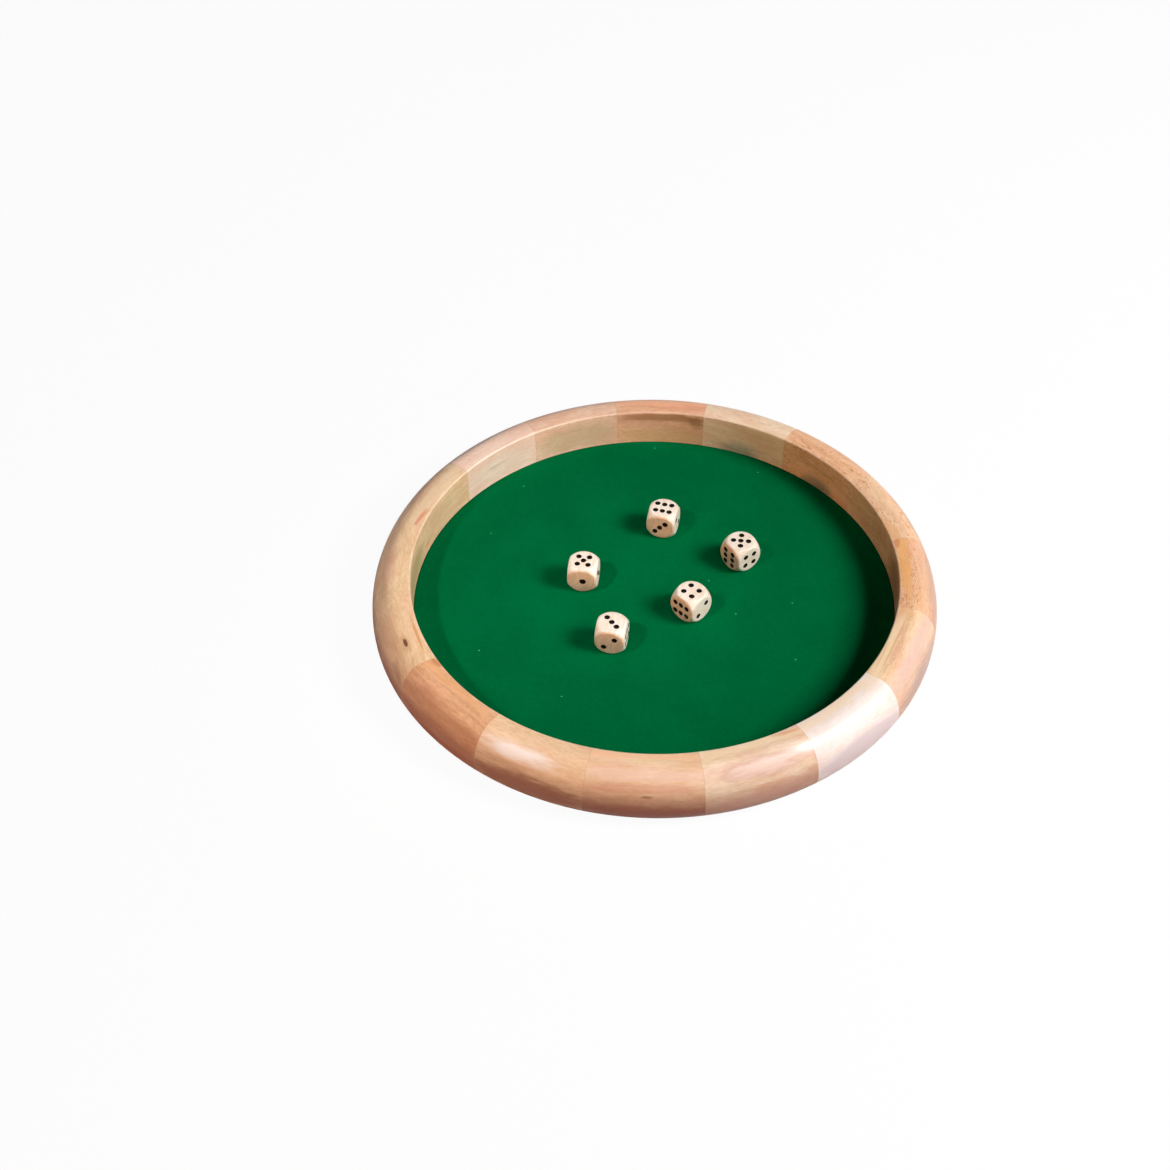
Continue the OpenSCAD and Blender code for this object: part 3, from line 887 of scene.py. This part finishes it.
def die_body(edge):
    """A cube whose edges and corners a ball rounds off, with a soft line where they meet. The grid's
    lines are spread by their tangents, so that they lie evenly on the ball."""
    shape = bmesh.new()
    bmesh.ops.create_cube(shape, size=2)
    bmesh.ops.subdivide_edges(shape, edges=shape.edges[:], cuts=DIE_GRID - 1, use_grid_fill=True)
    for vert in shape.verts:
        way = Vector(math.tan(math.pi / 4 * c) for c in vert.co).normalized()
        flat = edge / 2 / max(abs(c) for c in way)
        vert.co = way * smooth_min(flat, CORNER_BALL * edge, EDGE_SOFTNESS)
    return shape


def pip_outline(diameter):
    """Half of a drilled hollow's outline as (radius, height over the face), from its middle up."""
    radius = diameter / 2
    bowl = PIP_DEEP - PIP_WALL
    outline = []
    for i in range(1, PIP_BOWL_STEPS + 1):
        angle = math.radians(90 / PIP_BOWL_STEPS * i)
        outline.append((radius * math.sin(angle), -PIP_WALL - bowl * math.cos(angle)))
    return outline + [(radius, -PIP_RIM), (radius + PIP_RIM, 0), (radius + PIP_RIM, PIP_DEEP)]


def add_cutter(shape, place, diameter):
    """Adds the closed form of one pip, turned to its face by place."""
    turns = [2 * math.pi * i / PIP_STEPS for i in range(PIP_STEPS)]
    rings = []
    for radius, height in pip_outline(diameter):
        rings.append([
            shape.verts.new(place @ Vector((radius * math.cos(t), radius * math.sin(t), height)))
            for t in turns
        ])
    bottom = shape.verts.new(place @ Vector((0, 0, -PIP_DEEP)))
    for i in range(PIP_STEPS):
        j = (i + 1) % PIP_STEPS
        shape.faces.new((bottom, rings[0][j], rings[0][i]))
        for inner, outer in zip(rings, rings[1:]):
            shape.faces.new((inner[i], inner[j], outer[j], outer[i]))
    shape.faces.new(rings[-1])


def pip_plan():
    """Each pip as (turn that brings an upward face to its side, place on that face, diameter)."""
    here = [(0, 0)]
    pair = [(PIP_OFFSET, PIP_OFFSET), (-PIP_OFFSET, -PIP_OFFSET)]
    other = [(PIP_OFFSET, -PIP_OFFSET), (-PIP_OFFSET, PIP_OFFSET)]
    rows = [(x * SIX_PITCH, y * SIX_ROW_OFFSET) for x in (-1, 0, 1) for y in (-1, 1)]
    sides = [
        ((0, 0, 0), here),
        ((0, 90, 0), pair),
        ((-90, 0, 0), here + pair),
        ((90, 0, 0), pair + other),
        ((0, -90, 0), here + pair + other),
        ((180, 0, 0), rows),
    ]
    for turn, places in sides:
        for at in places:
            yield turn, at, ONE_PIP_D if places is here else PIP_D


def rotation(*degrees):
    return Euler([math.radians(turn) for turn in degrees]).to_matrix().to_4x4()


def die_mesh(edge, seed, one_shift, materials):
    """A die about its own centre, the one up, the two towards +X and the three towards +Y. Each pip
    strays a little from its place, as hand-fed drilling leaves them."""
    chance = random.Random(seed)
    cutters = bmesh.new()
    for turn, at, diameter in pip_plan():
        stray = [chance.uniform(-PIP_WANDER, PIP_WANDER) for _ in range(2)]
        x, y = (a + s for a, s in zip(at, stray))
        if diameter == ONE_PIP_D:
            y += one_shift
        add_cutter(cutters, rotation(*turn) @ Matrix.Translation((x, y, edge / 2)), diameter)
    for face in cutters.faces:
        face.material_index = PAINT_INDEX
    bmesh.ops.recalc_face_normals(cutters, faces=cutters.faces[:])
    tool = bpy.data.objects.new("cutters", mesh_from(cutters, "cutters"))
    body = bpy.data.objects.new("body", mesh_from(die_body(edge), "body"))
    for made in (tool, body):
        for material in materials:
            made.data.materials.append(material)
        bpy.context.scene.collection.objects.link(made)
    cut = body.modifiers.new("pips", "BOOLEAN")
    cut.object = tool
    cut.operation = "DIFFERENCE"
    cut.solver = "EXACT"
    shown = body.evaluated_get(bpy.context.evaluated_depsgraph_get())
    mesh = bpy.data.meshes.new_from_object(shown)
    for made in (tool, body):
        bpy.data.objects.remove(made)
    return mesh


# The object


def add_ring(frame):
    """Adds the ring's blocks, and returns the radius of the well inside them."""
    names = [f"ring_block_{n:02d}" for n in range(1, BLOCK_COUNT + 1)]
    tops = [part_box(name)[1] for name in names]
    ring_r = max(top.x for top in tops)
    ring_h = max(top.z for top in tops)
    corners = frame["nodes"][names[0]].data.vertices
    well_r = min(math.hypot(v.co.x, v.co.y) for v in corners)
    rebate_r = min(math.hypot(v.co.x, v.co.y) for v in corners if v.co.z < NEAR_FOOT)
    ledge_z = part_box("play_felt")[1].z
    section = ring_section(ring_r, ring_h, well_r, rebate_r, ledge_z)
    for number, name in enumerate(names, 1):
        block = ring_block(number, section, block_material(number, well_r, ring_h))
        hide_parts(name)
        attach(block, "tray")
    return well_r


def add_floor_pieces(frame, well_r):
    low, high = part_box("play_felt")
    felt = felt_disc(well_r, high.x, low.z, high.z, felt_material())
    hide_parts("play_felt")
    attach(felt, "tray")
    frame["nodes"]["base_board"].material_slots[0].material = plywood_material()
    frame["nodes"]["base_screws"].material_slots[0].material = screw_material()


def add_dice():
    paint = pip_material()
    for seed, (name, (turn, tumble, one_shift)) in enumerate(DICE.items(), 1):
        low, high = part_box("die_" + name)
        edge = high.z - low.z
        pose = rotation(0, 0, turn) @ rotation(*tumble)
        # The end-grain pair goes on the sides that face the front left, where the die is shaded, so its
        # deeper tone is partly painted shade
        side = pose.to_3x3().inverted() @ END_GRAIN_SHADE_WAY
        fibres = max(range(3), key=lambda axis: abs(side[axis]))
        mesh = die_mesh(edge, seed, one_shift, [die_wood_material(seed, fibres, edge), paint])
        die = new_object(f"wooden_die_{name}", mesh, DIE_SHARP_ANGLE)
        die.matrix_world = Matrix.Translation((low + high) / 2) @ pose
        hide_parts("die_" + name)
        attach(die, name + "_die")


# Camera, lamps and floor


def add_camera():
    data = bpy.data.cameras.new("camera")
    data.lens = FOCAL_LENGTH
    data.sensor_width = SENSOR_WIDTH
    camera = bpy.data.objects.new("camera", data)
    camera.location = CAMERA_AT
    camera.rotation_euler = [math.radians(t) for t in CAMERA_TURN]
    bpy.context.scene.collection.objects.link(camera)
    bpy.context.scene.camera = camera


def add_lamp(name, distance, azimuth, elevation, size, power, spread=180, aim=(0, 0), tint="#ffffff"):
    """A square soft box that stands azimuth degrees round from +X and looks at aim, a place on the
    floor, with a grid that narrows its light to spread degrees. Its power is in watts."""
    data = bpy.data.lights.new(name, "AREA")
    data.size = size
    data.energy = power
    data.color = colour(tint)[:3]
    data.spread = math.radians(spread)
    lamp = bpy.data.objects.new(name, data)
    turn, tilt = math.radians(azimuth), math.radians(elevation)
    way = Vector((math.cos(tilt) * math.cos(turn), math.cos(tilt) * math.sin(turn), math.sin(tilt)))
    lamp.location = way * distance
    back = lamp.location - Vector((*aim, 0))
    lamp.rotation_euler = back.to_track_quat("Z", "Y").to_euler()
    bpy.context.scene.collection.objects.link(lamp)


def add_lamps():
    """A broad key, a small fill that gives the dice their crisp second shadows, and three weak low
    lamps that reach the inner wall."""
    add_lamp("key", distance=1.5, azimuth=-15, elevation=42.5, size=0.54, power=26.3)
    add_lamp(
        "fill", distance=1.5, azimuth=218, elevation=50, size=0.09, power=0.056, spread=12.3,
        aim=(-0.048, 0),
    )
    add_lamp(
        "glow_left", distance=1.2, azimuth=195, elevation=5, size=0.1, power=0.76, tint=GLOW_TINT,
    )
    add_lamp(
        "glow_back", distance=1.2, azimuth=235, elevation=8.5, size=0.1, power=0.029, spread=15,
        aim=(0.076, 0.1), tint=GLOW_TINT,
    )
    add_lamp(
        "wash", distance=1.5, azimuth=285, elevation=18, size=0.1, power=0.0105, spread=6.8,
        aim=(-0.068, 0.106),
    )


def add_floor():
    """A white sheet that bounces little light, and shows the tray's shadow faintly."""
    shader = Shader("floor_white")
    white = shader.mix(shader.seen_directly(), colour(FLOOR_BOUNCE), FLOOR_WHITE)
    sheet = shader.add("BsdfDiffuse", white)
    glow = shader.add("Emission", WHITE, 1.0)
    share = shader.maths("MULTIPLY", shader.add("LightPath").outputs["Is Camera Ray"], FLOOR_GLOW)
    mixed = shader.add("MixShader", share, sheet.outputs[0], glow.outputs[0])
    shader.put(shader.output.inputs["Surface"], mixed.outputs[0])
    corners = [(x * FLOOR_REACH, y * FLOOR_REACH, 0) for x, y in ((-1, -1), (1, -1), (1, 1), (-1, 1))]
    floor = new_object("floor", mesh_of("floor", corners, [[0, 1, 2, 3]], shader.material))


def set_world():
    """White all round where it is seen, and little light from it."""
    world = bpy.data.worlds.new("studio")
    world.use_nodes = True
    bpy.context.scene.world = world
    nodes = Nodes(world.node_tree)
    strength = nodes.add("MapRange", nodes.seen_directly(), 0, 1, AMBIENT, 1)
    background = nodes.tree.nodes["Background"]
    nodes.put(background.inputs["Strength"], strength.outputs[0])
    nodes.put(background.inputs["Color"], WHITE)


def main():
    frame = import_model()
    add_camera()
    add_lamps()
    set_world()
    bpy.context.scene.view_settings.view_transform = "Standard"
    add_floor()
    well_r = add_ring(frame)
    add_floor_pieces(frame, well_r)
    add_dice()


main()
